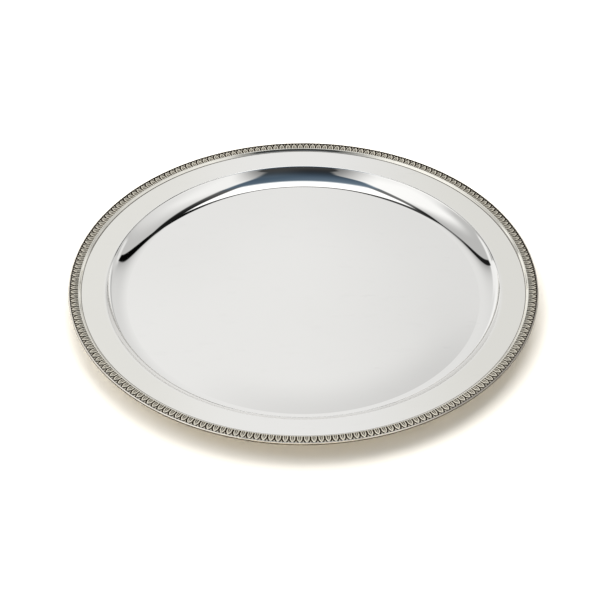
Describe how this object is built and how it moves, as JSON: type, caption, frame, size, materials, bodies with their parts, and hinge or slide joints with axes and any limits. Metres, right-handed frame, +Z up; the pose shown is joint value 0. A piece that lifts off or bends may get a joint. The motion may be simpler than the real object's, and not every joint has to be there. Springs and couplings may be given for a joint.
{
  "type": "silver salver",
  "caption": "Round shallow salver: one spun silver sheet with a hollow wall and wide flat rim, edged by a plain fillet, a band of upright leaves and a half-round wire.",
  "frame": {"origin": "centre of the flat underside, on the surface the salver stands on", "axes": "+Z up along the salver's axis; +X and +Y lie in the underside, and +X points at the joint between the last and the first length of the leaf band"},
  "size_m": [0.35, 0.35, 0.0138],
  "materials": {
    "polished_silver": "mirror polish with faint hairlines",
    "aged_silver": "chased relief, bright on the high lines, darkened in the hollows"
  },
  "bodies": {
    "root": {"tray_body": "polished_silver", "inner_fillet": "polished_silver", "rim_wire": "polished_silver", "leaf_band_01": "aged_silver", "leaf_band_02": "aged_silver", "leaf_band_03": "aged_silver", "leaf_band_04": "aged_silver", "leaf_band_05": "aged_silver", "leaf_band_06": "aged_silver", "leaf_band_07": "aged_silver", "leaf_band_08": "aged_silver", "leaf_band_09": "aged_silver", "leaf_band_10": "aged_silver", "leaf_band_11": "aged_silver", "leaf_band_12": "aged_silver"}
  },
  "joints": []
}
